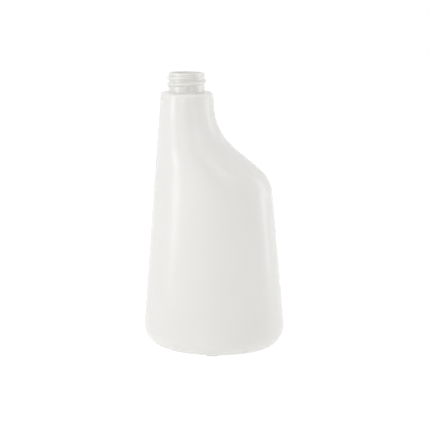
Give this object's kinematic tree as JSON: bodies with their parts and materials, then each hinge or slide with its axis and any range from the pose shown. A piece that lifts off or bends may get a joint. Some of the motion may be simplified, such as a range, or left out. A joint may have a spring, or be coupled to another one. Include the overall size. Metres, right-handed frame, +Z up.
{
  "type": "spray bottle body",
  "caption": "Tall one-piece blow-moulded bottle with an oval body, a sloping shoulder, an offset threaded neck and a volume scale on its narrow edge, for dilute chemicals.",
  "frame": {"origin": "on the standing surface, halfway along the foot", "axes": "+Z up through the neck; +X along the width, towards the sloping shoulder; +Y along the depth, away from the face that carries the locating lug"},
  "size_m": [0.1026, 0.0708, 0.1994],
  "materials": {
    "natural_polyethylene": "satin, slightly translucent, fine moulded grain"
  },
  "bodies": {
    "root": {"bottle": "natural_polyethylene"}
  },
  "joints": []
}
